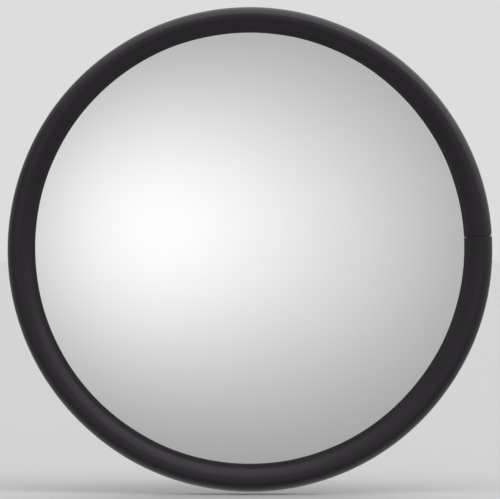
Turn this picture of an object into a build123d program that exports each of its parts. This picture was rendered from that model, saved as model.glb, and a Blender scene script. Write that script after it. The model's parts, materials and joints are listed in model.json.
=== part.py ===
from build123d import *
import os
from math import asin, cos, degrees, radians, sin, sqrt

os.makedirs("parts", exist_ok=True)

# A round convex security mirror on a telescoping wall arm, with a ball joint behind the mirror.
# Millimetres. The origin is the middle of the wall plate's back face, the mirror looks along -Y,
# and +Z is up. The arm, the ball joint and the mirror share the Y axis at rest.

# ---- mirror head ----
overall_diameter = 457.2        # over the edge gasket: an 18 inch mirror
dome_radius = 487.0             # radius of curvature of the reflecting face
dome_height = 49.0              # from the flange's face to the middle of the dome
dome_thickness = 3.0            # acrylic sheet
dome_bend_radius = 4.0          # where the dome turns out into its flange
board_thickness = 3.2           # hardboard
board_edge_chamfer = 0.4
board_hole_clearance = 0.5      # round the spring housing's bore
rim_radius = 222.5              # edge of the flange and of the board, inside the gasket
gasket_half_width = 13.5        # of the gasket's oval section, across the mirror
gasket_half_depth = 12.0        # of the gasket's oval section, along the mirror's axis
gasket_wall = 3.0
gasket_gap = 0.5                # between the gasket's two ends
gasket_gap_angle = 3.2          # degrees above the horizontal, on the +X side

# ---- ball joint ----
ball_y = -200.0                 # ball centre with the arm pushed in
ball_radius = 11.0
neck_radius = 3.5
liner_thickness = 1.95
joint_clearance = 0.05          # between the spherical faces
seat_clearance = 0.1            # between the seat and the spring housing's bore
liner_back_opening = 50.0       # degrees from the stud's axis
liner_front_opening = 25.0      # degrees from the same axis, in front
socket_opening = 59.0           # degrees from the mirror's axis, clear of the neck at full tilt and pan
socket_plate_thickness = 2.0
socket_plate_radius = 44.0
socket_bend_radius = 1.5
housing_thickness = 1.5
housing_plate_radius = 41.0
housing_bore_radius = 14.5
housing_depth = 30.0            # these five are distances in front of the ball's centre
seat_back = 5.9
seat_front = 17.5
seat_pilot_front = 21.0
spring_end_gap = 0.1
seat_pilot_radius = 6.4
spring_wire_radius = 0.9
spring_mean_radius = 8.2
spring_turns = 4.5

# ---- fasteners of the socket ----
screw_count = 4
screw_circle_radius = 31.0
screw_radius = 2.5              # M5
screw_hole_radius = 2.75
screw_length = 14.0
head_radius = 4.8
head_height = 2.8
recess_width = 1.2
recess_length = 5.4
recess_depth = 1.7
nut_across_flats = 8.0
nut_height = 4.0
washer_thickness = 1.2
washer_radius = 4.4
washer_split = 0.8
washer_split_slant = 35.0       # degrees
head_round_share = 0.7          # of the head's height
screw_chamfer_share = 0.2       # of the screw's radius
nut_chamfer_share = 0.12        # of the radius to a nut's corners

# ---- telescoping arm ----
tube_wall = 1.6
outer_tube_radius = 12.7        # 1 inch tube
outer_tube_front = -143.0
inner_tube_radius = 9.5         # 19 mm tube
inner_tube_back = -5.0
bush_length = 25.0
bush_lip_radius = 13.6
bush_lip_length = 2.5
glide_length = 14.0
glide_lip_length = 1.5
running_clearance = 0.05        # between a sliding or turning round part and its bore
thread_radius = 4.0             # M8 shank of the ball stud
thread_start = 17.0             # these are distances behind the ball's centre
jam_nut_front = 21.0
thread_end = 45.0
thread_chamfer = 1.0
jam_nut_height = 5.0
jam_nut_across_flats = 13.0
jam_washer_thickness = 2.0
jam_washer_radius = 7.0
jam_washer_split = 1.2
plug_flange_thickness = 3.0
plug_length = 24.0
plug_pin_radius = 1.5
plug_pin_from_end = 4.5
plug_pin_slot = 0.5
plug_pin_chamfer = 0.2
tapping_allowance = 1.0         # beyond each end of the ball stud's thread

# ---- wall plate and lock screw ----
plate_side = 90.0
plate_thickness = 3.0
plate_corner_radius = 12.0
plate_hole_spacing = 65.0
plate_hole_radius = 3.25
weld_size = 4.5
lock_y = -130.0
lock_thread_radius = 3.0        # M6, the thread's 1 mm pitch drives the lock screw
lock_hole_radius = 3.6
boss_radius = 8.0
boss_bottom = -24.0
boss_weld_size = 3.0
weld_fullness = 0.6             # of the weld's size, at the middle of its face
lock_pad_radius = 2.8
lock_pad_bottom = -12.5
lock_pad_gap = 0.02
lock_tip_chamfer = 0.4
lock_screw_share = 0.8          # how much of the knob's height the screw reaches through
knob_top = -30.0
knob_height = 14.0
knob_radius = 16.0
knob_hub_radius = 8.0
knob_hub_height = 3.0
knob_lobes = 6
knob_scallop_radius = 6.0
knob_scallop_circle = 20.0
edge_round = 0.6
match_distance = 0.01           # two points or sizes closer than this are the same

# ---- worked out ----
liner_inner_radius = ball_radius + joint_clearance
liner_outer_radius = liner_inner_radius + liner_thickness
socket_inner_radius = liner_outer_radius + joint_clearance
socket_outer_radius = socket_inner_radius + socket_plate_thickness
seat_radius = housing_bore_radius - seat_clearance

outer_tube_bore = outer_tube_radius - tube_wall
inner_tube_bore = inner_tube_radius - tube_wall
gasket_centre_radius = overall_diameter / 2 - gasket_half_width

# stations along the mirror's axis, as distances in front of the ball's centre
board_back = socket_plate_thickness / 2         # the socket plate straddles the ball's centre
board_front = board_back + board_thickness
flange_front = board_front + dome_thickness
dome_centre = flange_front + dome_height - dome_radius
housing_plate_front = board_front + housing_thickness

# stations along the arm, as distances behind the ball's centre
jam_washer_front = jam_nut_front + jam_nut_height
plug_front = jam_washer_front + jam_washer_thickness
inner_tube_front = ball_y + plug_front + plug_flange_thickness


def ahead(distance):
    """The Y of a station that far in front of the ball's centre, away from the wall."""
    return ball_y - distance


def behind(distance):
    """The Y of a station that far behind the ball's centre, towards the wall."""
    return ball_y + distance


def turned(*corners):
    """A solid of revolution about the Y axis, from its section's (radius, y) corners."""
    return revolve(make_face(Polyline(*corners, close=True)), Axis.Y)


def ring(inner, outer, y_one, y_two):
    """A plain ring about the Y axis, or a disc where the inner radius is 0."""
    return turned((inner, y_one), (outer, y_one), (outer, y_two), (inner, y_two))


def along_y(shape, x, y, z):
    """A shape that was made along +Z, turned to point along +Y and moved to (x, y, z)."""
    return Pos(x, y, z) * Rot(-90, 0, 0) * shape


def at_socket_screws(shape):
    """Separate copies of a shape that stands at X = 0, Z = 0, one at each socket screw."""
    copies = []
    for i in range(screw_count):
        angle = radians((i + 0.5) * 360 / screw_count)
        copies.append(Pos(screw_circle_radius * cos(angle), 0, screw_circle_radius * sin(angle)) * shape)
    return copies


def arc(radius, start_angle, end_angle, centre_y=ball_y):
    """An arc in the (radius, y) section, with angles in degrees from the +radius direction."""
    return CenterArc((0, centre_y), radius, start_angle, end_angle - start_angle)


def angle_at_station(radius, centre_y, y):
    """The arc angle at which a circle about the axis point centre_y reaches the station y."""
    return degrees(asin((y - centre_y) / radius))


def corner_at(section, point):
    """The section's corner at a point, in a list, ready for a fillet."""
    return [corner for corner in section.vertices() if (corner.center() - point).length < match_distance]


# ---- mirror head ----

def mirror_dome():
    """The blown acrylic dome: a spherical cap that turns out into a flat flange."""
    centre_y = ahead(dome_centre)
    inner_radius = dome_radius - dome_thickness
    front_angle = angle_at_station(dome_radius, centre_y, ahead(flange_front))
    back_angle = angle_at_station(inner_radius, centre_y, ahead(board_front))
    outside = arc(dome_radius, -90, front_angle, centre_y)
    inside = arc(inner_radius, -90, back_angle, centre_y)
    section = make_face([
        outside,
        Polyline(outside @ 1, (rim_radius, ahead(flange_front)),
                 (rim_radius, ahead(board_front)), inside @ 1),
        inside,
        Line(inside @ 0, outside @ 0),
    ])
    bend = corner_at(section, outside @ 1)
    return revolve(fillet(bend, dome_bend_radius), Axis.Y)


def edge_gasket():
    """The soft vinyl edge: an oval tube bent into a circle, slit where the rim goes in."""
    centre_y = ahead(dome_centre)
    middle = Pos(gasket_centre_radius, ahead(flange_front))
    wall = middle * Ellipse(gasket_half_width, gasket_half_depth)
    hollow = middle * Ellipse(gasket_half_width - gasket_wall, gasket_half_depth - gasket_wall)
    inner = gasket_centre_radius - 2 * gasket_half_width
    front_angle = angle_at_station(dome_radius, centre_y, ahead(flange_front))
    dome_face = arc(dome_radius, degrees(asin(inner / dome_radius)) - 90, front_angle, centre_y)
    rim = make_face([
        dome_face,
        Polyline(dome_face @ 1, (rim_radius, ahead(flange_front)), (rim_radius, ahead(board_back)),
                 (inner, ahead(board_back)), dome_face @ 0),
    ])
    tube = revolve(wall - hollow - rim, Axis.Y)
    reach = 4 * gasket_half_width
    gap = Pos(gasket_centre_radius, ahead(flange_front), 0) * Box(reach, reach, gasket_gap)
    return tube - Rot(0, -gasket_gap_angle, 0) * gap


def back_board():
    """The hardboard disc behind the dome, with a hole for the ball and one for each screw."""
    board = ring(0, rim_radius, ahead(board_back), ahead(board_front))
    board = chamfer(board.edges(), board_edge_chamfer)
    hole = Cylinder(housing_bore_radius + board_hole_clearance, 4 * board_thickness)
    screw_hole = Cylinder(screw_hole_radius, 4 * board_thickness)
    board -= along_y(hole, 0, ahead(board_front), 0)
    for cutter in at_socket_screws(along_y(screw_hole, 0, ahead(board_front), 0)):
        board -= cutter
    return board


# ---- ball joint ----

def socket_plate():
    """The pressed steel plate on the board's back, whose cup holds the ball from behind."""
    lip = 90 - socket_opening
    front_angle = angle_at_station(socket_inner_radius, ball_y, ahead(board_back))
    back_angle = -angle_at_station(socket_outer_radius, ball_y, ahead(board_back))
    inside = arc(socket_inner_radius, lip, front_angle)
    outside = arc(socket_outer_radius, back_angle, lip)
    section = make_face([
        inside,
        Polyline(inside @ 1, (socket_plate_radius, ahead(board_back)),
                 (socket_plate_radius, behind(board_back)), outside @ 0),
        outside,
        Line(outside @ 1, inside @ 0),
    ])
    bend = corner_at(section, outside @ 0)
    plate = revolve(fillet(bend, socket_bend_radius), Axis.Y)
    circles = plate.edges().filter_by(GeomType.CIRCLE)
    rim = [edge for edge in circles if edge.radius > socket_plate_radius - match_distance]
    plate = fillet(rim, edge_round)
    screw_hole = along_y(Cylinder(screw_hole_radius, 4 * socket_plate_thickness), 0, ball_y, 0)
    for cutter in at_socket_screws(screw_hole):
        plate -= cutter
    return plate


def spring_housing():
    """The drawn steel cup inside the dome, with a flange that the screws clamp to the board."""
    outer = housing_bore_radius + housing_thickness
    floor = housing_depth + housing_thickness
    cup = turned(
        (housing_bore_radius, ahead(board_front)), (housing_plate_radius, ahead(board_front)),
        (housing_plate_radius, ahead(housing_plate_front)), (outer, ahead(housing_plate_front)),
        (outer, ahead(floor)), (0, ahead(floor)), (0, ahead(housing_depth)),
        (housing_bore_radius, ahead(housing_depth)),
    )
    screw_hole = along_y(Cylinder(screw_hole_radius, 4 * housing_thickness), 0, ahead(board_front), 0)
    for cutter in at_socket_screws(screw_hole):
        cup -= cutter
    return cup


def pressure_seat():
    """The cupped nylon seat that the spring pushes against the ball's liner."""
    start = -90
    end = -angle_at_station(socket_inner_radius, ball_y, behind(seat_back))
    hollow = arc(socket_inner_radius, start, end)
    section = make_face([
        hollow,
        Polyline(hollow @ 1, (seat_radius, ahead(seat_back)), (seat_radius, ahead(seat_front)),
                 (seat_pilot_radius, ahead(seat_front)), (seat_pilot_radius, ahead(seat_pilot_front)),
                 (0, ahead(seat_pilot_front)), hollow @ 0),
    ])
    return revolve(section, Axis.Y)


def pressure_spring():
    """The coil spring between the seat and the housing's floor."""
    first = seat_front + spring_wire_radius + spring_end_gap
    last = housing_depth - spring_wire_radius - spring_end_gap
    coil = Helix((last - first) / spring_turns, last - first, spring_mean_radius)
    wire = Plane(coil @ 0, z_dir=coil % 0) * Circle(spring_wire_radius)
    spring = sweep(wire, path=coil, is_frenet=True)
    return Pos(0, ahead(first), 0) * Rot(90, 0, 0) * spring


def ball_liner():
    """The nylon shell round the ball, open behind for the stud."""
    back = 90 - liner_back_opening
    front = liner_front_opening - 90
    inside = arc(liner_inner_radius, back, front)
    outside = arc(liner_outer_radius, front, back)
    section = make_face([inside, Line(inside @ 1, outside @ 0), outside, Line(outside @ 1, inside @ 0)])
    return revolve(section, Axis.Y)


def ball_stud():
    """The turned steel ball with its neck and its threaded shank."""
    neck_angle = degrees(asin(neck_radius / ball_radius))
    ball = arc(ball_radius, -90, 90 - neck_angle)
    taper = thread_radius - neck_radius
    section = make_face([
        ball,
        Polyline(ball @ 1, (neck_radius, behind(thread_start)), (thread_radius, behind(thread_start + taper)),
                 (thread_radius, behind(thread_end - thread_chamfer)),
                 (thread_radius - thread_chamfer, behind(thread_end)),
                 (0, behind(thread_end)), ball @ 0),
    ])
    return revolve(section, Axis.Y)


# ---- fasteners ----

def hex_nut(across_flats, height, bore):
    """A hexagon nut along +Z with chamfered corners, standing on Z = 0."""
    corner_radius = across_flats / sqrt(3)
    blank = extrude(RegularPolygon(corner_radius, 6), height)
    lathe = Pos(0, 0, height / 2) * Cylinder(corner_radius, height)
    lathe = chamfer(lathe.edges().filter_by(GeomType.CIRCLE), nut_chamfer_share * corner_radius)
    hole = Pos(0, 0, height / 2) * Cylinder(bore, 2 * height)
    return (blank & lathe) - hole


def split_washer(bore, outer, thickness, split):
    """A spring lock washer along +Z with a slanting split, standing on Z = 0."""
    washer = Pos(0, 0, thickness / 2) * (Cylinder(outer, thickness) - Cylinder(bore, thickness))
    cutter = Rot(washer_split_slant, 0, 0) * Box(outer, split, 4 * thickness)
    cutter = Pos(outer / 2 + bore / 2, 0, thickness / 2) * cutter
    return washer - cutter


def pan_head_screw():
    """A pan head screw with a cross recess: the head stands on Z = 0, the shank runs to -Z."""
    head = Pos(0, 0, head_height / 2) * Cylinder(head_radius, head_height)
    head = fillet(head.edges().filter_by(GeomType.CIRCLE).sort_by(Axis.Z)[-1], head_round_share * head_height)
    shank = Pos(0, 0, -screw_length / 2) * Cylinder(screw_radius, screw_length)
    tip = shank.edges().filter_by(GeomType.CIRCLE).sort_by(Axis.Z)[0]
    shank = chamfer(tip, screw_chamfer_share * screw_radius)
    slot = Pos(0, 0, head_height - recess_depth / 2) * Box(recess_length, recess_width, recess_depth)
    return head + shank - slot - Rot(0, 0, 90) * slot


def socket_screws():
    """The screws that clamp the socket plate, the board and the spring housing together."""
    return Compound(children=at_socket_screws(along_y(pan_head_screw(), 0, behind(board_back), 0)))


def socket_lock_washers():
    """The split washers under the socket nuts, inside the dome."""
    washer = split_washer(screw_radius, washer_radius, washer_thickness, washer_split)
    y = ahead(housing_plate_front + washer_thickness)
    return Compound(children=at_socket_screws(along_y(washer, 0, y, 0)))


def socket_nuts():
    """The nuts on the socket screws, inside the dome."""
    nut = hex_nut(nut_across_flats, nut_height, screw_radius)
    y = ahead(housing_plate_front + washer_thickness + nut_height)
    return Compound(children=at_socket_screws(along_y(nut, 0, y, 0)))


def jam_nut():
    """The thin nut that locks the ball stud in the arm."""
    return along_y(hex_nut(jam_nut_across_flats, jam_nut_height, thread_radius), 0, behind(jam_nut_front), 0)


def jam_lock_washer():
    """The split washer between the jam nut and the arm's end plug."""
    washer = split_washer(thread_radius, jam_washer_radius, jam_washer_thickness, jam_washer_split)
    return along_y(washer, 0, behind(jam_washer_front), 0)


# ---- arm ----

def inner_arm_tube():
    """The tube that slides in the arm's outer tube."""
    tube = ring(inner_tube_bore, inner_tube_radius, inner_tube_back, inner_tube_front)
    return tube - plug_pin_hole()


def plug_pin_y():
    """The Y of the pin that holds the end plug in the inner tube."""
    return behind(plug_front + plug_length - plug_pin_from_end)


def plug_pin_hole():
    """The cross hole for the end plug's pin."""
    return Pos(0, plug_pin_y(), 0) * Cylinder(plug_pin_radius, 4 * inner_tube_radius)


def plug_spring_pin():
    """The rolled pin across the inner tube that holds the end plug."""
    pin = Cylinder(plug_pin_radius, 2 * inner_tube_radius)
    pin = chamfer(pin.edges().filter_by(GeomType.CIRCLE), plug_pin_chamfer)
    bore = Cylinder(plug_pin_radius / 2, 3 * inner_tube_radius)
    slot = Pos(plug_pin_radius, 0, 0) * Box(2 * plug_pin_radius, plug_pin_slot, 3 * inner_tube_radius)
    return Pos(0, plug_pin_y(), 0) * (pin - bore - slot)


def arm_end_plug():
    """The turned plug in the inner tube's front end, tapped for the ball stud."""
    flange_back = plug_front + plug_flange_thickness
    plug = turned(
        (0, behind(plug_front)), (inner_tube_radius - edge_round, behind(plug_front)),
        (inner_tube_radius, behind(plug_front + edge_round)), (inner_tube_radius, behind(flange_back)),
        (inner_tube_bore, behind(flange_back)), (inner_tube_bore, behind(plug_front + plug_length)),
        (0, behind(plug_front + plug_length)),
    )
    tapping_back = behind(thread_end + tapping_allowance)
    tapping = ring(0, thread_radius, behind(plug_front - tapping_allowance), tapping_back)
    return plug - tapping - plug_pin_hole()


def rear_glide():
    """The nylon sleeve on the inner tube's back end, which keeps the tube from pulling out."""
    outer = outer_tube_bore - running_clearance
    back = inner_tube_back + glide_lip_length
    front = back - glide_length
    return turned(
        (inner_tube_bore, back), (outer - edge_round, back), (outer, back - edge_round), (outer, front),
        (inner_tube_radius, front), (inner_tube_radius, inner_tube_back), (inner_tube_bore, inner_tube_back),
    )


def mouth_bush():
    """The nylon bush in the outer tube's mouth, with a hole for the lock screw's pad."""
    bore = inner_tube_radius + running_clearance
    back = outer_tube_front + bush_length
    front = outer_tube_front - bush_lip_length
    bush = turned(
        (bore, back), (outer_tube_bore, back), (outer_tube_bore, outer_tube_front),
        (bush_lip_radius, outer_tube_front), (bush_lip_radius, front + edge_round),
        (bush_lip_radius - edge_round, front), (bore + edge_round, front), (bore, front + edge_round),
    )
    return bush - lock_hole()


def lock_hole():
    """The hole under the arm that the lock screw and its pad go through."""
    return Pos(0, lock_y, -outer_tube_radius) * Cylinder(lock_hole_radius, outer_tube_radius)


def outer_arm_tube():
    """The tube that is welded to the wall plate."""
    tube = ring(outer_tube_bore, outer_tube_radius, -plate_thickness, outer_tube_front)
    return tube - lock_hole()


# ---- wall plate and lock screw ----

def wall_plate():
    """The square steel plate that is screwed to the wall."""
    outline = RectangleRounded(plate_side, plate_side, plate_corner_radius)
    holes = GridLocations(plate_hole_spacing, plate_hole_spacing, 2, 2) * Circle(plate_hole_radius)
    plate = extrude(outline - holes, plate_thickness)
    front_rim = plate.faces().sort_by(Axis.Z)[-1].outer_wire().edges()
    plate = fillet(front_rim, edge_round)
    return Rot(90, 0, 0) * plate


def lock_boss():
    """The tapped steel boss on the underside of the outer tube."""
    height = -boss_bottom
    boss = Pos(0, lock_y, boss_bottom + height / 2) * Cylinder(boss_radius, height)
    boss = chamfer(boss.edges().filter_by(GeomType.CIRCLE).sort_by(Axis.Z)[0], edge_round)
    bore = Pos(0, lock_y, boss_bottom) * Cylinder(lock_thread_radius + running_clearance, 4 * height)
    return boss - bore - ring(0, outer_tube_radius, lock_y - height, lock_y + height)


def weld_beads():
    """The weld round the arm at the wall plate, and the one round the lock boss."""
    reach = weld_size
    plate_weld = turned(
        (outer_tube_radius, -plate_thickness), (outer_tube_radius + reach, -plate_thickness),
        (outer_tube_radius + weld_fullness * reach, -plate_thickness - weld_fullness * reach),
        (outer_tube_radius, -plate_thickness - reach),
    )
    collar = Pos(0, lock_y, -outer_tube_radius) * Cylinder(boss_radius + boss_weld_size, 2 * boss_weld_size)
    span = 2 * boss_radius
    shell = ring(outer_tube_radius, outer_tube_radius + boss_weld_size / 2, lock_y - span, lock_y + span)
    boss_weld = collar & shell
    boss_weld -= Pos(0, lock_y, -outer_tube_radius) * Cylinder(boss_radius, 8 * boss_weld_size)
    return Compound(children=[plate_weld, boss_weld])


def lock_pad():
    """The nylon pad at the lock screw's tip, which presses on the inner tube."""
    top = -inner_tube_radius - lock_pad_gap
    height = top - lock_pad_bottom
    return Pos(0, lock_y, lock_pad_bottom + height / 2) * Cylinder(lock_pad_radius, height)


def lock_screw():
    """The lock screw's threaded rod, moulded into the knob."""
    bottom = knob_top - lock_screw_share * knob_height
    height = lock_pad_bottom - bottom
    rod = Pos(0, lock_y, bottom + height / 2) * Cylinder(lock_thread_radius, height)
    return chamfer(rod.edges().filter_by(GeomType.CIRCLE).sort_by(Axis.Z)[-1], lock_tip_chamfer)


def lock_knob():
    """The lobed plastic knob that turns the lock screw."""
    knob = Cylinder(knob_radius, knob_height)
    for i in range(knob_lobes):
        angle = radians(i * 360 / knob_lobes)
        place = Pos(knob_scallop_circle * cos(angle), knob_scallop_circle * sin(angle), 0)
        knob -= place * Cylinder(knob_scallop_radius, 2 * knob_height)
    rims = knob.faces().filter_by(Plane.XY)
    knob = fillet([edge for face in rims for edge in face.outer_wire().edges()], 2 * edge_round)
    hub = Pos(0, 0, knob_height / 2 + knob_hub_height / 2) * Cylinder(knob_hub_radius, knob_hub_height)
    knob = Pos(0, lock_y, knob_top - knob_height / 2) * (knob + hub)
    return knob - lock_screw()


# ---- the assembly ----

nodes = {
    "mirror_dome": mirror_dome,
    "edge_gasket": edge_gasket,
    "back_board": back_board,
    "socket_plate": socket_plate,
    "spring_housing": spring_housing,
    "pressure_seat": pressure_seat,
    "pressure_spring": pressure_spring,
    "ball_liner": ball_liner,
    "ball_stud": ball_stud,
    "socket_screws": socket_screws,
    "socket_lock_washers": socket_lock_washers,
    "socket_nuts": socket_nuts,
    "jam_nut": jam_nut,
    "jam_lock_washer": jam_lock_washer,
    "inner_arm_tube": inner_arm_tube,
    "arm_end_plug": arm_end_plug,
    "plug_spring_pin": plug_spring_pin,
    "rear_glide": rear_glide,
    "mouth_bush": mouth_bush,
    "outer_arm_tube": outer_arm_tube,
    "wall_plate": wall_plate,
    "weld_beads": weld_beads,
    "lock_boss": lock_boss,
    "lock_pad": lock_pad,
    "lock_screw": lock_screw,
    "lock_knob": lock_knob,
}

for name, build in nodes.items():
    export_step(build(), f"parts/{name}.step")
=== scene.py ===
import json
from math import asin, atan2, cos, exp, pi, radians, sin, sqrt

import bpy
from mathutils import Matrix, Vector

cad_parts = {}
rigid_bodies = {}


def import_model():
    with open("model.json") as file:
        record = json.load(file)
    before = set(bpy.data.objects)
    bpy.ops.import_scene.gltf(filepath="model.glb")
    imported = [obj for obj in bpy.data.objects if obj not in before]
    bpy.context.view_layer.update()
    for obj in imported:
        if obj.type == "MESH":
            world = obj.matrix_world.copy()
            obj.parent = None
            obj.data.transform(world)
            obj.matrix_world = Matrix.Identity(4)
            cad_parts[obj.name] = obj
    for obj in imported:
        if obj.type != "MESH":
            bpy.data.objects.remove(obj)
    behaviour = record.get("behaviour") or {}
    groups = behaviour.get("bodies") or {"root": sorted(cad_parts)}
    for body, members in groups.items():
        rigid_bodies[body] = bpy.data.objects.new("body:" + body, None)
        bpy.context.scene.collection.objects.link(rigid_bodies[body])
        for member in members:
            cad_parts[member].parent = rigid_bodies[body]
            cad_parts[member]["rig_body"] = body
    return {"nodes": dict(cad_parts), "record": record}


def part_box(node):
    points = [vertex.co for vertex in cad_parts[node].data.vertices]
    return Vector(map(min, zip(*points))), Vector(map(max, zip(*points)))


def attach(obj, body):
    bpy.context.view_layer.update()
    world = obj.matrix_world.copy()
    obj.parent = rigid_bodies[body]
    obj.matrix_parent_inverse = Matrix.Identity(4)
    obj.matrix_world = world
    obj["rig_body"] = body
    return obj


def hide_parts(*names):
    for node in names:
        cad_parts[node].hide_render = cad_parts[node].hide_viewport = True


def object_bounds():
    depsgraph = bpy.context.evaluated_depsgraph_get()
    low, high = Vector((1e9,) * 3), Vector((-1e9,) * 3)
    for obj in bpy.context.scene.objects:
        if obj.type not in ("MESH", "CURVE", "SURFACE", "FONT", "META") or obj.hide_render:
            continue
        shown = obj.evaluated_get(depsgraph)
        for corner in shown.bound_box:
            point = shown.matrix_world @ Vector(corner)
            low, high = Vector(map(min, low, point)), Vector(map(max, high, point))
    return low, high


# A convex security mirror on its wall arm. Metres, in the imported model's frame: the wall is at
# y = 0, the mirror looks along -Y, and the arm, the ball and the mirror share the Y axis at rest.

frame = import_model()
cad_low, cad_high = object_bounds()
slot_of = {part["node"]: part["material_slot"] for part in frame["record"]["subparts"]}

MM = 0.001

# ---- places that the frame gives ----
dome_low, dome_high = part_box("mirror_dome")
gasket_low, gasket_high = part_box("edge_gasket")
board_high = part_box("back_board")[1]
plate_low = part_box("wall_plate")[0]
outer_tube_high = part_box("outer_arm_tube")[1]
lock_screw_low, lock_screw_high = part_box("lock_screw")
boss_low, boss_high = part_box("lock_boss")
stud_low, stud_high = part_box("ball_stud")
arm_radius = outer_tube_high.x
ball_radius = stud_high.x
ball_y = stud_low.y + ball_radius
lock_y = (boss_low.y + boss_high.y) / 2
outer_radius = gasket_high.x
gasket_y = (gasket_low.y + gasket_high.y) / 2

# ---- the dome ----
DOME_RADIUS = 487 * MM
DOME_THICKNESS = 3 * MM
DOME_BEND = 4 * MM
DOME_STEPS = 288
apex_y = dome_low.y
dome_centre_y = apex_y + DOME_RADIUS
flange_front_y = dome_high.y - DOME_THICKNESS
rim_radius = dome_high.x

# ---- the gasket: half of its wall, and the places of its section's middle line ----
WALL_HALF = 1.35 * MM
LIP_HALF = 0.7 * MM                     # the wall thins towards both lips
LIP_TAPER = 8 * MM                      # over this length
CREST_INSET = 10.2 * MM                 # of the front crest, from the outer edge
CREST_PROUD = 0.5 * MM                  # of the simple oval that the frame has
BACK_CREST_INSET = 12.6 * MM
BACK_LIP_RADIUS = 203.9 * MM
LIP_RADIUS = 203 * MM                   # of the round opening that the front lip leaves
LIP_SHIFT_X = -0.4 * MM                 # of the opening's centre from the mirror's axis
LIP_SHIFT_Z = 1.4 * MM
LIP_OVAL = 0.5 * MM
LIP_SLOPE = radians(-6)                 # of the wall beside the front lip, against the mirror's plane
CIRCLE_HANDLE = 0.5523                  # of the radius: a Bezier handle that draws a quarter circle
LIP_HANDLE = 0.35                       # handles of the section's other curves, of their width
CREST_HANDLE = 0.31
BACK_HANDLE = 0.6
EDGE_INSET = 0.2 * MM                   # keeps the uneven outer edge inside the frame's box
# small unevenness round the ring: number of waves, size in mm, phase in radians
LIP_WAVES = ((3, 0.10, 0.4), (5, 0.08, 2.1), (8, 0.06, 4.4), (13, 0.05, 1.3), (21, 0.03, 5.2))
EDGE_WAVES = ((4, 0.08, 1.0), (7, 0.06, 3.1), (11, 0.05, 5.0))
GASKET_STEPS = 520
SEAM_ANGLE = radians(3.2)
SEAM_GAP = 0.12 * MM
SEAM_ROUND = 0.45 * MM                  # of the cut ends' edges
SEAM_STRAY = 2.1 * MM                   # how far the hand cut strays, and over what width
SEAM_STRAY_RADIUS = 220 * MM
SEAM_STRAY_WIDTH = 2.6 * MM
SEAM_STRAY_REACH = 12 * MM              # along the ring from each end
SEAM_TUCK = 0.9 * MM                    # how far one end sinks in at its outer side
SEAM_TUCK_REACH = 3.5 * MM
SEAM_NOTCH = 0.06 * MM                  # how far the ends part at the front lip
SEAM_ZONE = 13 * MM                     # the mesh is finer this near to each cut end
SEAM_STEPS = 24

# ---- the ball stud and the lock screw ----
NECK_RADIUS = 3.5 * MM
NECK_FILLET = 0.3 * MM                  # small enough to clear the liner at full pan
STUD_THREAD_RADIUS = 4 * MM
STUD_THREAD_START = 17.5 * MM           # behind the ball's centre
STUD_PITCH = 1.25 * MM
LOCK_PITCH = 1.0 * MM
THREAD_DEPTH = 0.6                      # of the pitch
THREAD_STEPS = 12                       # rings in each turn of a thread

# ---- the welds ----
PLATE_WELD_LEG = 4.5 * MM
BOSS_WELD_LEG = 3.0 * MM
WELD_RIPPLE = 1.7 * MM                  # length of one ripple of a bead
WELD_RIPPLE_DEPTH = 0.30 * MM


# ---- mesh helpers ----

def mesh_object(name, points, faces, material):
    """A smooth mesh object from points and faces, with one material."""
    mesh = bpy.data.meshes.new(name)
    mesh.from_pydata([tuple(p) for p in points], [], faces)
    mesh.materials.append(material)
    mesh.polygons.foreach_set("use_smooth", [True] * len(mesh.polygons))
    mesh.update()
    piece = bpy.data.objects.new(name, mesh)
    bpy.context.collection.objects.link(piece)
    return piece


def stand_for(piece, node):
    """The piece is shown in place of a CAD node, and moves and is finished as that node is."""
    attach(piece, frame["nodes"][node]["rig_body"])
    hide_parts(node)


def groove(turn):
    """The depth of a thread's groove from 0 to 1, at a number of turns along it."""
    from_root = abs((turn % 1) - 0.5)
    return min(max((0.44 - from_root) / 0.30, 0), 1)


def turned_mesh(profile, steps, pitch=1.0):
    """Points and faces of a profile of (radius, y) turned about the Y axis.

    A radius of 0 is one point. The profile runs outward over the front and back in behind. A third
    number in a point is the depth of a thread that is cut there.
    """
    points, rings = [], []
    for radius, y, *cut in profile:
        first = len(points)
        if radius == 0:
            points.append((0, y, 0))
            rings.append([first] * steps)
            continue
        for i in range(steps):
            angle = 2 * pi * i / steps
            reach = radius - cut[0] * groove(y / pitch - i / steps) if cut else radius
            points.append((reach * cos(angle), y, reach * sin(angle)))
        rings.append(list(range(first, first + steps)))
    faces = []
    for near, far in zip(rings, rings[1:]):
        for i in range(steps):
            j = (i + 1) % steps
            corners = [near[i], far[i], far[j], near[j]]
            faces.append([c for k, c in enumerate(corners) if c not in corners[:k]])
    return points, faces


def arc_points(centre, radius, start, end, steps):
    """Points on an arc, with angles in radians from the +radius direction towards +y."""
    angles = [start + (end - start) * i / steps for i in range(steps + 1)]
    return [(centre[0] + radius * cos(a), centre[1] + radius * sin(a)) for a in angles]


def bezier_points(p0, p1, p2, p3, steps):
    """Points on a cubic Bezier curve, both ends included."""
    points = []
    for i in range(steps + 1):
        t = i / steps
        weights = ((1 - t) ** 3, 3 * t * (1 - t) ** 2, 3 * t * t * (1 - t), t**3)
        points.append(tuple(sum(w * p[k] for w, p in zip(weights, (p0, p1, p2, p3))) for k in (0, 1)))
    return points


def smooth_step(low, high, value):
    """0 below low, 1 above high, and a smooth rise between."""
    t = min(max((value - low) / (high - low), 0), 1)
    return t * t * (3 - 2 * t)


# ---- material helpers ----

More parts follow.
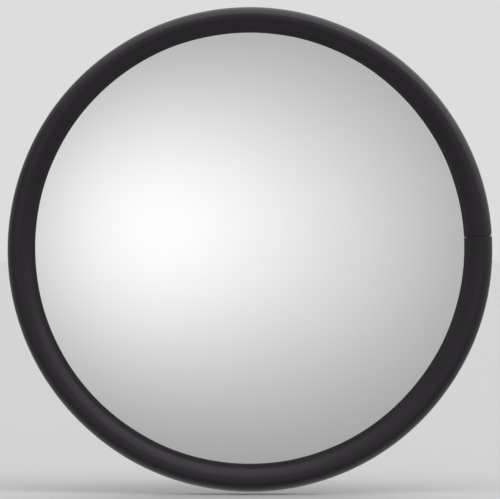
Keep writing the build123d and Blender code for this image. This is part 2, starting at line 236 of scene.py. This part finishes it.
class Shader:
    """A Principled material, with short calls for the nodes that feed it."""

    def __init__(self, name, **inputs):
        self.material = bpy.data.materials.new(name)
        self.material.use_nodes = True
        self.tree = self.material.node_tree
        self.surface = self.tree.nodes["Principled BSDF"]
        for key, value in inputs.items():
            self.surface.inputs[key.replace("_", " ")].default_value = value

    def feed(self, socket, value):
        """Link a node's output to a socket, or set the socket's own value."""
        if isinstance(value, bpy.types.NodeSocket):
            self.tree.links.new(value, socket)
        else:
            socket.default_value = value

    def node(self, kind, *values, operation=None):
        """A node with these values on its first sockets; None leaves a socket as it is."""
        made = self.tree.nodes.new(kind)
        if operation:
            made.operation = operation
        for socket, value in zip(made.inputs, values):
            if value is not None:
                self.feed(socket, value)
        return made

    def math(self, operation, a, b=None):
        """One math node."""
        return self.node("ShaderNodeMath", a, b, operation=operation).outputs[0]

    def place(self, stretch=(1, 1, 1)):
        """The piece's own coordinates in metres, stretched."""
        coordinates = self.node("ShaderNodeTexCoord").outputs["Object"]
        return self.node("ShaderNodeVectorMath", coordinates, stretch, operation="MULTIPLY").outputs[0]

    def ring_place(self, across, along):
        """Coordinates round the Y axis: radius and y times across, and the angle times along."""
        split = self.node("ShaderNodeSeparateXYZ", self.place())
        x, y, z = split.outputs
        radius = self.math("SQRT", self.math("ADD", self.math("MULTIPLY", x, x), self.math("MULTIPLY", z, z)))
        angle = self.math("ARCTAN2", z, x)
        made = self.node(
            "ShaderNodeCombineXYZ",
            self.math("MULTIPLY", radius, across),
            self.math("MULTIPLY", y, across),
            self.math("MULTIPLY", angle, along),
        )
        return made.outputs[0]

    def noise(self, place, scale, detail=3.0):
        """Noise from 0 to 1, centred on a half."""
        made = self.tree.nodes.new("ShaderNodeTexNoise")
        self.feed(made.inputs["Vector"], place)
        made.inputs["Scale"].default_value = scale
        made.inputs["Detail"].default_value = detail
        return made.outputs["Fac"]

    def spread(self, value, low, high, to_low, to_high):
        """A value from low to high, taken to the span from to_low to to_high and held there."""
        return self.node("ShaderNodeMapRange", value, low, high, to_low, to_high).outputs[0]

    def between(self, factor, one, two):
        """A colour between two others."""
        made = self.tree.nodes.new("ShaderNodeMix")
        made.data_type = "RGBA"
        self.feed(made.inputs["Factor"], factor)
        self.feed(made.inputs[6], one)
        self.feed(made.inputs[7], two)
        return made.outputs[2]

    def set(self, name, value):
        """Feed one of the surface's sockets."""
        self.feed(self.surface.inputs[name], value)

    def bump(self, height, distance, strength=1.0):
        """Raise the surface by a height from 0 to 1, times a distance in metres."""
        made = self.tree.nodes.new("ShaderNodeBump")
        made.inputs["Strength"].default_value = strength
        made.inputs["Distance"].default_value = distance
        self.feed(made.inputs["Height"], height)
        self.set("Normal", made.outputs[0])


def grey(value, warm=0.0):
    """A linear grey, a little red and less blue where warm is above 0."""
    return (value * (1 + warm), value, value * (1 - warm), 1.0)


# ---- materials ----

def silvered_acrylic():
    """Silvering seen through clear acrylic, with the faint waviness of a blown sheet."""
    shader = Shader("silvered_acrylic", Metallic=1.0)
    haze = shader.noise(shader.place(), 14.0, 4.0)
    shader.set("Base Color", shader.between(haze, grey(0.885), grey(0.905, 0.002)))
    shader.set("Roughness", shader.spread(haze, 0.3, 0.7, 0.012, 0.03))
    shader.bump(shader.noise(shader.place(), 9.0, 2.0), 0.04 * MM, 0.2)
    return shader.material


def black_vinyl():
    """Soft matte vinyl with faint extrusion lines round the ring."""
    shader = Shader("black_vinyl")
    shader.set("Specular IOR Level", 0.20)
    lines = shader.noise(shader.ring_place(900.0, 6.0), 1.0, 2.0)
    grain = shader.noise(shader.place(), 2600.0, 2.0)
    cloud = shader.noise(shader.place(), 30.0, 4.0)
    dark, light = (0.0118, 0.0092, 0.0126, 1), (0.0158, 0.0128, 0.0168, 1)
    shader.set("Base Color", shader.between(cloud, dark, light))
    worn = shader.spread(cloud, 0.3, 0.7, 0.34, 0.42)
    shader.set("Roughness", shader.math("ADD", worn, shader.spread(lines, 0.3, 0.7, 0.0, 0.05)))
    height = shader.math("ADD", shader.math("MULTIPLY", lines, 0.6), shader.math("MULTIPLY", grain, 0.4))
    shader.bump(height, 0.03 * MM, 0.6)
    return shader.material


def hardboard():
    """Tempered hardboard: wood fibres pressed every way, brown and slightly polished."""
    shader = Shader("hardboard")
    shader.set("Specular IOR Level", 0.3)
    cloud = shader.noise(shader.place(), 18.0, 5.0)
    warp = shader.noise(shader.place(), 220.0, 2.0)
    fibres = 0.0
    for degrees_round in (15, 62, 104, 151):
        turned = shader.node("ShaderNodeVectorRotate", shader.place())
        turned.rotation_type = "Y_AXIS"
        turned.inputs["Angle"].default_value = radians(degrees_round)
        long = shader.node(
            "ShaderNodeVectorMath", turned.outputs[0], (330, 900, 1900), operation="MULTIPLY"
        ).outputs[0]
        curled = shader.node("ShaderNodeVectorMath", long, warp, operation="ADD").outputs[0]
        fibres = shader.math("MAXIMUM", shader.noise(curled, 1.0, 2.0), fibres)
    specks = shader.spread(shader.noise(shader.place(), 700.0, 2.0), 0.60, 0.72, 0.0, 0.65)
    shade = shader.spread(cloud, 0.3, 0.7, 0, 1)
    base = shader.between(shade, (0.136, 0.065, 0.032, 1), (0.162, 0.079, 0.039, 1))
    base = shader.between(shader.spread(fibres, 0.56, 0.78, 0.0, 0.42), base, (0.30, 0.175, 0.095, 1))
    base = shader.between(specks, base, (0.055, 0.028, 0.017, 1))
    shader.set("Base Color", base)
    shader.set("Roughness", shader.spread(fibres, 0.45, 0.75, 0.38, 0.58))
    shader.bump(fibres, 0.05 * MM, 0.5)
    return shader.material


def plated_steel(name, tone, rough, warm):
    """Plated or oiled steel with soft clouds in its shine."""
    shader = Shader(name, Metallic=1.0)
    cloud = shader.noise(shader.place(), 120.0, 5.0)
    fine = shader.noise(shader.place(), 1800.0, 2.0)
    shader.set("Base Color", shader.between(cloud, grey(tone, -0.01), grey(tone * 1.05, warm)))
    shader.set("Roughness", shader.spread(cloud, 0.3, 0.7, rough - 0.06, rough + 0.10))
    shader.bump(fine, 0.02 * MM, 0.4)
    return shader.material


def turned_steel():
    """Bright turned steel, with fine tool marks round the Y axis."""
    shader = Shader("bright_steel", Metallic=1.0)
    marks = shader.noise(shader.ring_place(2600.0, 2.0), 1.0, 2.0)
    shader.set("Base Color", shader.between(marks, grey(0.60), grey(0.70)))
    shader.set("Roughness", shader.spread(marks, 0.3, 0.7, 0.12, 0.24))
    shader.bump(marks, 0.01 * MM, 0.5)
    return shader.material


def chrome():
    """Chrome plate with light slide marks along the arm."""
    shader = Shader("chrome_tube", Metallic=1.0)
    scratches = shader.spread(shader.noise(shader.place((2200, 14, 2200)), 1.0, 2.0), 0.60, 0.72, 0.0, 1.0)
    cloud = shader.noise(shader.place(), 60.0, 4.0)
    shader.set("Base Color", shader.between(scratches, grey(0.79, -0.01), grey(0.62)))
    rough = shader.spread(cloud, 0.3, 0.7, 0.06, 0.12)
    shader.set("Roughness", shader.math("ADD", rough, shader.math("MULTIPLY", scratches, 0.12)))
    shader.bump(scratches, 0.01 * MM, 0.3)
    return shader.material


def powder_coat():
    """Satin black powder coat with its fine orange peel."""
    shader = Shader("black_coat")
    peel = shader.noise(shader.place(), 520.0, 3.0)
    cloud = shader.noise(shader.place(), 40.0, 3.0)
    shader.set("Base Color", shader.between(cloud, grey(0.018), grey(0.027)))
    shader.set("Roughness", shader.spread(peel, 0.3, 0.7, 0.28, 0.44))
    shader.bump(peel, 0.18 * MM, 0.45)
    return shader.material


def moulded(name, one, two, rough, texture):
    """Moulded plastic; texture is the depth of its fine surface grain in metres."""
    shader = Shader(name)
    cloud = shader.noise(shader.place(), 180.0, 3.0)
    fine = shader.noise(shader.place(), 2400.0, 2.0)
    shader.set("Base Color", shader.between(cloud, one, two))
    shader.set("Roughness", shader.spread(cloud, 0.3, 0.7, rough - 0.06, rough + 0.08))
    shader.bump(fine, texture, 0.5)
    return shader.material


FINISHES = {
    "mirror_face": silvered_acrylic(),
    "black_vinyl": black_vinyl(),
    "hardboard": hardboard(),
    "zinc_steel": plated_steel("zinc_steel", 0.60, 0.28, 0.03),
    "spring_steel": plated_steel("spring_steel", 0.28, 0.34, 0.02),
    "bright_steel": turned_steel(),
    "chrome_tube": chrome(),
    "white_nylon": moulded("white_nylon", (0.76, 0.75, 0.69, 1), (0.82, 0.81, 0.76, 1), 0.42, 0.02 * MM),
    "black_nylon": moulded("black_nylon", grey(0.024), grey(0.034), 0.42, 0.02 * MM),
    "black_coat": powder_coat(),
    "black_plastic": moulded("black_plastic", grey(0.022), grey(0.030), 0.46, 0.05 * MM),
}


# ---- the mirror dome ----

def dome_profile():
    """The dome's section, from the middle of its face round the flange to the middle behind."""
    centre = (0, dome_centre_y)
    bend_y = flange_front_y - DOME_BEND
    bend_radius = sqrt((DOME_RADIUS + DOME_BEND) ** 2 - (dome_centre_y - bend_y) ** 2)
    meet = atan2(bend_y - dome_centre_y, bend_radius)
    inside = DOME_RADIUS - DOME_THICKNESS
    inside_end = -asin((dome_centre_y - dome_high.y) / inside)
    edge = 0.5 * MM
    face = arc_points(centre, DOME_RADIUS, -pi / 2, meet, 110)
    bend = arc_points((bend_radius, bend_y), DOME_BEND, meet + pi, pi / 2, 10)
    front_edge = arc_points((rim_radius - edge, flange_front_y + edge), edge, -pi / 2, 0, 4)
    back_edge = arc_points((rim_radius - edge, dome_high.y - edge), edge, 0, pi / 2, 4)
    back = arc_points(centre, inside, inside_end, -pi / 2, 40)
    outside = [(0, apex_y)] + face[1:] + bend[1:] + front_edge + back_edge
    return outside + back[:-1] + [(0, apex_y + DOME_THICKNESS)]


def make_dome():
    """The dome, finely divided so that its reflections run smoothly."""
    points, faces = turned_mesh(dome_profile(), DOME_STEPS)
    piece = mesh_object("dome_face", points, faces, FINISHES["mirror_face"])
    stand_for(piece, "mirror_dome")


# ---- the edge gasket ----

def waves(table, angle):
    """A sum of small waves round the ring, in metres."""
    return sum(size * MM * sin(count * angle + phase) for count, size, phase in table)


def lip_radius(angle):
    """How far from the mirror's axis the front lip's edge lies."""
    shift = LIP_SHIFT_X * cos(angle) + LIP_SHIFT_Z * sin(angle)
    return LIP_RADIUS + shift - LIP_OVAL * cos(2 * angle) + waves(LIP_WAVES, angle)


def gasket_middle(angle):
    """The middle line of the gasket's wall at an angle, from the front lip round to the back lip."""
    tip_radius = lip_radius(angle) + LIP_HALF
    tip = (tip_radius, dome_centre_y - sqrt((DOME_RADIUS + LIP_HALF) ** 2 - tip_radius**2))
    reach = outer_radius - EDGE_INSET + waves(EDGE_WAVES, angle)
    crest = (reach - CREST_INSET, gasket_low.y + WALL_HALF - CREST_PROUD)
    side = (reach - WALL_HALF, gasket_y)
    back_crest = (reach - BACK_CREST_INSET, gasket_high.y - WALL_HALF)
    back_tip = (BACK_LIP_RADIUS + LIP_HALF, board_high.y + LIP_HALF)
    run = crest[0] - tip[0]
    leave = LIP_HANDLE * run
    line = bezier_points(
        tip,
        (tip[0] + leave * cos(LIP_SLOPE), tip[1] - leave * sin(LIP_SLOPE)),
        (crest[0] - CREST_HANDLE * run, crest[1]),
        crest,
        20,
    )
    run, rise = side[0] - crest[0], side[1] - crest[1]
    line += bezier_points(
        crest,
        (crest[0] + CIRCLE_HANDLE * run, crest[1]),
        (side[0], side[1] - CIRCLE_HANDLE * rise),
        side,
        14,
    )[1:]
    run, rise = side[0] - back_crest[0], back_crest[1] - side[1]
    line += bezier_points(
        side,
        (side[0], side[1] + CIRCLE_HANDLE * rise),
        (back_crest[0] + CIRCLE_HANDLE * run, back_crest[1]),
        back_crest,
        12,
    )[1:]
    run, rise = back_crest[0] - back_tip[0], back_crest[1] - back_tip[1]
    line += bezier_points(
        back_crest,
        (back_crest[0] - BACK_HANDLE * run, back_crest[1]),
        (back_tip[0], back_tip[1] + BACK_HANDLE * rise),
        back_tip,
        10,
    )[1:]
    return line


def gasket_section(angle, to_end):
    """The closed outline of the gasket's wall at an angle that is that far from the nearer cut end."""
    inset = max(SEAM_ROUND - to_end, 0)
    rounding = SEAM_ROUND - sqrt(SEAM_ROUND**2 - inset**2)
    line = [Vector(point) for point in gasket_middle(angle)]
    outside, inside = [], []
    for i, point in enumerate(line):
        along = (line[min(i + 1, len(line) - 1)] - line[max(i - 1, 0)]).normalized()
        from_lip = min((point - line[0]).length, (point - line[-1]).length)
        half = LIP_HALF + (WALL_HALF - LIP_HALF) * smooth_step(0, LIP_TAPER, from_lip) - rounding
        across = Vector((along.y, -along.x)) * half
        outside.append(point + across)
        inside.append(point - across)
    ends = []
    for middle, edge in ((line[0], outside[0]), (line[-1], inside[-1])):
        start = atan2(edge.y - middle.y, edge.x - middle.x)
        ends.append(arc_points(middle, LIP_HALF - rounding, start, start - pi, 8)[1:-1])
    return outside, ends[1], inside, ends[0]


def seam_stray(radius):
    """How far the seam strays along the ring at a radius, as it was cut by hand."""
    return -SEAM_STRAY * exp(-(((radius - SEAM_STRAY_RADIUS) / SEAM_STRAY_WIDTH) ** 2))


def gasket_point(radius, y, angle, turn):
    """A point of the gasket; turn is its distance along the ring from the nearer end, signed."""
    near = 1 - smooth_step(0, SEAM_STRAY_REACH, abs(turn))
    tuck = 1 - smooth_step(0, SEAM_TUCK_REACH, abs(turn))
    if turn > 0:
        shrink = SEAM_TUCK * tuck
        radius -= shrink * smooth_step(216 * MM, 226 * MM, radius)
        y += 0.5 * shrink if y < gasket_y else 0
    notch = SEAM_NOTCH * (1 - smooth_step(204 * MM, 208 * MM, radius)) * tuck
    shift = seam_stray(radius) * near + (notch if turn > 0 else -notch)
    angle += shift / radius
    return (radius * cos(angle), y, radius * sin(angle))


def make_gasket():
    """The soft vinyl edge: a slit tube pushed on the rim, its two ends butted together at one side."""
    first = SEAM_ANGLE + SEAM_GAP / 2 / outer_radius
    span = 2 * pi - SEAM_GAP / outer_radius
    points, faces = [], []
    near_ends = [SEAM_ZONE * (i / SEAM_STEPS) ** 2 / outer_radius for i in range(SEAM_STEPS + 1)]
    start, end = near_ends[-1], span - near_ends[-1]
    stations = near_ends + [start + (end - start) * i / GASKET_STEPS for i in range(1, GASKET_STEPS)]
    stations += [span - d for d in reversed(near_ends)]
    for station in stations:
        angle = first + station
        turn = station * outer_radius if station < span / 2 else (station - span) * outer_radius
        turn = turn or (1e-9 if station < span / 2 else -1e-9)
        outside, back_end, inside, front_end = gasket_section(angle, abs(turn))
        loop = outside + back_end[::-1] + inside[::-1] + front_end[::-1]
        points += [gasket_point(radius, y, angle, turn) for radius, y in loop]
    size = len(loop)
    for i in range(len(stations) - 1):
        for k in range(size):
            near, far = i * size, (i + 1) * size
            after = (k + 1) % size
            faces.append([near + k, near + after, far + after, far + k])
    last = (len(stations) - 1) * size
    faces.append(list(reversed(range(size))))
    faces.append([last + k for k in range(size)])
    piece = mesh_object("gasket_ring", points, faces, FINISHES["black_vinyl"])
    for cut_end in piece.data.polygons[-2:]:
        cut_end.use_smooth = False
    stand_for(piece, "edge_gasket")


# ---- threaded pieces ----

def threaded_stretch(radius, start, end, pitch):
    """Profile points of a threaded rod, whose groove fades in and out over one turn."""
    count = round((end - start) / pitch * THREAD_STEPS)
    profile = []
    for i in range(count + 1):
        y = start + (end - start) * i / count
        fade = min(y - start, end - y) / pitch
        profile.append((radius, y, THREAD_DEPTH * pitch * min(fade, 1)))
    return profile


def make_ball_stud():
    """The turned ball, its filleted neck and its threaded shank."""
    fillet_radius = NECK_RADIUS + NECK_FILLET
    fillet_rise = sqrt((ball_radius + NECK_FILLET) ** 2 - fillet_radius**2)
    meet = atan2(fillet_rise, fillet_radius)
    ball = arc_points((0, ball_y), ball_radius, -pi / 2, meet, 48)
    fillet = arc_points((fillet_radius, ball_y + fillet_rise), NECK_FILLET, meet - pi, -pi, 8)
    shank = threaded_stretch(STUD_THREAD_RADIUS, ball_y + STUD_THREAD_START, stud_high.y - 1 * MM, STUD_PITCH)
    neck_end = [(NECK_RADIUS, ball_y + STUD_THREAD_START - 0.5 * MM)]
    tip = [(STUD_THREAD_RADIUS - 1 * MM, stud_high.y), (0, stud_high.y)]
    profile = [(0, stud_low.y)] + ball[1:] + fillet[1:] + neck_end + shank + tip
    points, faces = turned_mesh(profile, 48, STUD_PITCH)
    stand_for(mesh_object("ball_and_shank", points, faces, FINISHES["bright_steel"]), "ball_stud")


def make_lock_screw():
    """The lock screw's threaded rod, which hangs along Z under the arm."""
    radius = lock_screw_high.x
    chamfer = 0.5 * MM
    low, high = lock_screw_low.z, lock_screw_high.z
    profile = [(0, low), (radius, low)] + threaded_stretch(radius, low, high - chamfer, LOCK_PITCH)
    profile += [(radius - chamfer, high), (0, high)]
    points, faces = turned_mesh(profile, 40, LOCK_PITCH)
    upright = [(x, lock_y - z, y) for x, y, z in points]
    stand_for(mesh_object("lock_thread", upright, faces, FINISHES["zinc_steel"]), "lock_screw")


# ---- the welds ----

def weld_ring(leg, radius, place):
    """Points and faces of a bead laid in ripples round a circle.

    place(angle, out, up) gives the point that far out from the upright wall and up from the other.
    """
    ripples = round(2 * pi * (radius + leg / 2) / WELD_RIPPLE)
    steps = ripples * 8
    arc_steps = 10
    points, faces = [], []
    for i in range(steps):
        angle = 2 * pi * i / steps
        size = leg * (1 + 0.05 * sin(3 * angle + 1.0) + 0.04 * sin(7 * angle + 2.6))
        points.append(place(angle, -0.2 * MM, -0.2 * MM))
        for k in range(arc_steps + 1):
            slope = pi / 2 * k / arc_steps
            trail = 1.5 * sin(2 * slope)
            swell = abs(sin((ripples * angle + trail) / 2)) * sin(2 * slope)
            reach = size * (1 - 0.22 * sin(2 * slope)) + WELD_RIPPLE_DEPTH * (swell - 0.5 * sin(2 * slope))
            points.append(place(angle, reach * cos(slope), reach * sin(slope)))
    loop = arc_steps + 2
    for i in range(steps):
        near, far = i * loop, (i + 1) % steps * loop
        for k in range(loop):
            after = (k + 1) % loop
            faces.append([near + k, near + after, far + after, far + k])
    return points, faces


def on_plate(angle, out, up):
    """A point of the bead round the arm at the wall plate."""
    radius = arm_radius + out
    return radius * cos(angle), plate_low.y - up, radius * sin(angle)


def on_arm(angle, out, up):
    """A point of the bead round the lock boss, on the arm's underside."""
    radius = boss_high.x + out
    x = radius * cos(angle)
    return x, lock_y + radius * sin(angle), -sqrt(arm_radius**2 - x * x) - up


def make_welds():
    """The two weld beads, as one piece."""
    points, faces = weld_ring(PLATE_WELD_LEG, arm_radius, on_plate)
    more_points, more_faces = weld_ring(BOSS_WELD_LEG, boss_high.x, on_arm)
    faces += [[len(points) + corner for corner in face[::-1]] for face in more_faces]
    piece = mesh_object("weld_ripples", points + more_points, faces, FINISHES["black_coat"])
    stand_for(piece, "weld_beads")


# ---- stage, light and camera ----

def make_floor():
    """A wide pale floor, just under the object."""
    reach = 60.0
    level = cad_low.z - 2 * MM
    shader = Shader("pale_floor", Roughness=0.75)
    cloud = shader.noise(shader.place(), 1.3, 4.0)
    shader.set("Base Color", shader.between(cloud, grey(0.295, 0.004), grey(0.305, 0.004)))
    points = [(0, 0, level)]
    steps = 96
    turns = [2 * pi * i / steps for i in range(steps)]
    points += [(reach * cos(turn), reach * sin(turn), level) for turn in turns]
    faces = [[0, 1 + i, 1 + (i + 1) % steps] for i in range(steps)]
    floor = mesh_object("floor", points, faces, shader.material)
    floor.visible_glossy = False


class Sky(Shader):
    """The shader of a new world, which lights the scene."""

    def __init__(self, name):
        world = bpy.data.worlds.new(name)
        world.use_nodes = True
        bpy.context.scene.world = world
        self.tree = world.node_tree
        self.surface = self.tree.nodes["Background"]

    def cosine_to(self, axis):
        """The cosine between a direction in the room and an axis of length 1."""
        direction = self.node("ShaderNodeTexCoord").outputs["Generated"]
        return self.node("ShaderNodeVectorMath", direction, axis, operation="DOT_PRODUCT").outputs["Value"]

    def glow(self, azimuth, elevation, strength, width):
        """A soft round light; azimuth 0 is straight in front of the mirror, in degrees."""
        a, e = radians(azimuth), radians(elevation)
        cosine = self.cosine_to((sin(a) * cos(e), -cos(a) * cos(e), sin(e)))
        fall = self.math("DIVIDE", self.math("SUBTRACT", cosine, 1.0), width)
        return self.math("MULTIPLY", self.math("EXPONENT", fall), strength)

    def rise(self, value, low, high, strength):
        """A smooth rise from 0 to the strength as the value goes from low to high."""
        made = self.node("ShaderNodeMapRange", value, low, high, 0.0, strength)
        made.interpolation_type = "SMOOTHSTEP"
        return made.outputs[0]


def make_light():
    """Soft studio light: two wide glows in front, a bank overhead and a pale room behind."""
    sky = Sky("studio")
    from_front = sky.cosine_to((0, -1, 0))
    glows = sky.math("ADD", sky.glow(-30, 5, 0.6, 0.2), sky.glow(15, 5, 0.45, 0.35))
    wings = sky.math("ADD", sky.rise(from_front, cos(radians(66)), cos(radians(54)), 0.6), 0.4)
    total = sky.math("ADD", sky.math("MULTIPLY", glows, wings), 0.27)
    lean = radians(72)
    overhead = sky.rise(sky.cosine_to((cos(lean), 0, sin(lean))), 0.2, 0.95, 1.0)
    off_front = sky.rise(from_front, cos(radians(55)), cos(radians(62)), 1.0)
    forward = sky.rise(from_front, cos(radians(86)), cos(radians(68)), 3.6)
    bank = sky.math("MULTIPLY", overhead, off_front)
    total = sky.math("ADD", total, sky.math("MULTIPLY", bank, sky.math("ADD", forward, 1.6)))
    from_below = sky.rise(sky.cosine_to((0, 0, -1)), 0.25, 0.9, 0.6)
    total = sky.math("ADD", total, sky.math("MULTIPLY", from_below, off_front))
    total = sky.math("ADD", total, sky.rise(sky.cosine_to((0, 1, 0)), -0.50, 0.15, 0.45))
    colour = sky.node("ShaderNodeCombineColor", total, total, total).outputs[0]
    sky.set("Color", colour)


def make_camera():
    """Straight on, as in the photograph; its distance isn't known, and 3 m is chosen."""
    distance = 3.0
    mirror_share = 0.97                 # of the picture's width, that the mirror takes
    data = bpy.data.cameras.new("camera")
    camera = bpy.data.objects.new("camera", data)
    bpy.context.collection.objects.link(camera)
    data.sensor_width = 36.0
    data.lens = data.sensor_width * mirror_share * distance / (2 * outer_radius)
    camera.location = (0, gasket_y - distance, 0)
    camera.rotation_euler = (radians(90), 0, 0)
    data.clip_end = 200.0
    bpy.context.scene.camera = camera


# ---- assembly ----

for node, piece in frame["nodes"].items():
    piece.data.materials.clear()
    piece.data.materials.append(FINISHES[slot_of[node]])

make_dome()
make_gasket()
make_ball_stud()
make_lock_screw()
make_welds()
make_floor()
make_light()
make_camera()
bpy.context.scene.view_settings.view_transform = "Standard"
